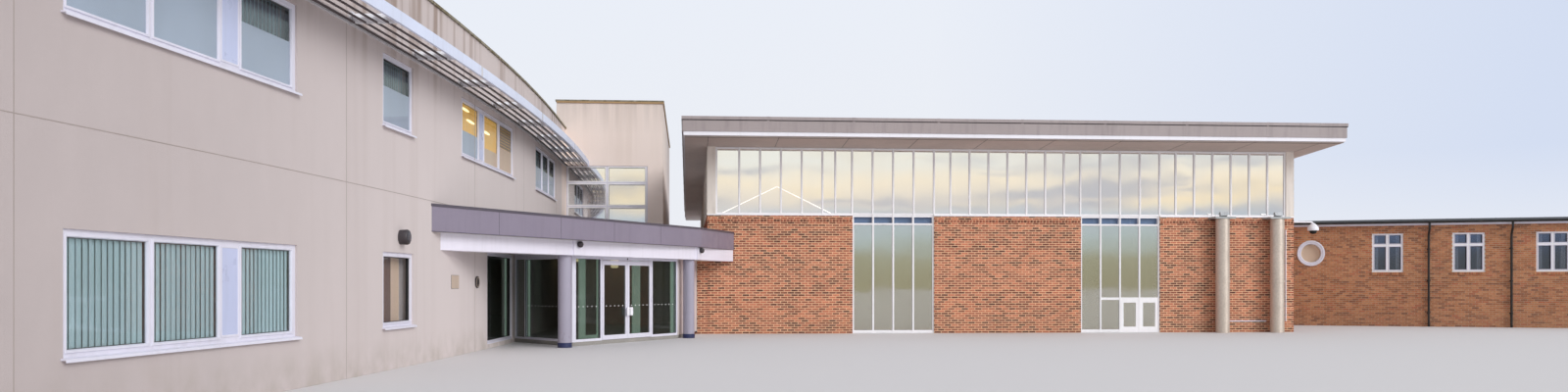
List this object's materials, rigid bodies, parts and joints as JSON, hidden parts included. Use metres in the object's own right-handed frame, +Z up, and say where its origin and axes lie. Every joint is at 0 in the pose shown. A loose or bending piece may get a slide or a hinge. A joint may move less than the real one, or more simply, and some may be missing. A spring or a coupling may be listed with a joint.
{
  "type": "scale model of a hospital entrance court",
  "caption": "Half-size hospital: curved rendered wing with sunshade, end block, canopied glass entrance, brick hall with clerestory, flues and a low brick wing.",
  "frame": {"origin": "on the ground, where the centrelines of the hall's front and left walls cross", "axes": "+X right along the hall's front, +Y away from the viewer into the hall, +Z up"},
  "size_m": [28.7112, 27.7905, 4.268],
  "materials": {
    "black_metal": "satin black",
    "brick": "facing brick",
    "cladding": "white boards",
    "concrete": "cast concrete",
    "coping": "weathered coping",
    "dark_panel": "satin",
    "galvanised": "galvanised",
    "glass": "clear",
    "grey_metal": "satin grey",
    "low_brick": "facing brick",
    "post_paint": "satin",
    "render": "painted render",
    "roofing": "roof membrane",
    "white_metal": "satin white"
  },
  "bodies": {
    "building": {"block_back_wall": "render", "block_front_wall": "render", "block_roof": "roofing", "block_side_walls": "render", "canopy_beam": "white_metal", "canopy_fascia": "grey_metal", "canopy_roof": "roofing", "clerestory_frames": "white_metal", "clerestory_glass": "glass", "entrance_glass": "glass", "entrance_posts": "post_paint", "entrance_screen_frame": "white_metal", "flue_fixings": "galvanised", "flues": "galvanised", "hall_back_brick": "brick", "hall_columns": "white_metal", "hall_fascia": "grey_metal", "hall_floor": "concrete", "hall_front_brick": "brick", "hall_roof": "roofing", "hall_side_brick": "brick", "hall_side_cladding": "cladding", "lobby_floor": "concrete", "lobby_walls": "render", "low_back_wall": "low_brick", "low_end_wall": "low_brick", "low_floor": "concrete", "low_front_wall": "low_brick", "low_gutter": "black_metal", "low_roof": "grey_metal", "low_window_frames": "white_metal", "low_window_glass": "glass", "parapet_copings": "coping", "soffit_strip": "white_metal", "spandrel_panels": "dark_panel", "sunshade_blades": "white_metal", "sunshade_strip": "white_metal", "tall_window_frames": "white_metal", "tall_window_glass": "glass", "wing_back_wall": "render", "wing_end_walls": "render", "wing_floor": "concrete", "wing_front_bay_1": "render", "wing_front_bay_2": "render", "wing_front_bay_3": "render", "wing_front_bay_4": "render", "wing_front_bay_5": "render", "wing_glass": "glass", "wing_roof": "roofing", "wing_shared_wall": "render", "wing_upper_floor": "concrete", "wing_window_frames": "white_metal"},
    "door_left": {"door_left": "white_metal", "door_left_glass": "glass"},
    "door_right": {"door_right": "white_metal", "door_right_glass": "glass"}
  },
  "joints": [
    {"name": "door_left_hinge", "type": "hinge", "parent": "building", "child": "door_left", "pos_m": [-1.51961, -3.19155, 0.055], "axis": [0, 0, -1], "range_deg": [0, 90]},
    {"name": "door_right_hinge", "type": "hinge", "parent": "building", "child": "door_right", "pos_m": [-0.89988, -2.18739, 0.055], "axis": [0, 0, 1], "range_deg": [0, 90]}
  ]
}
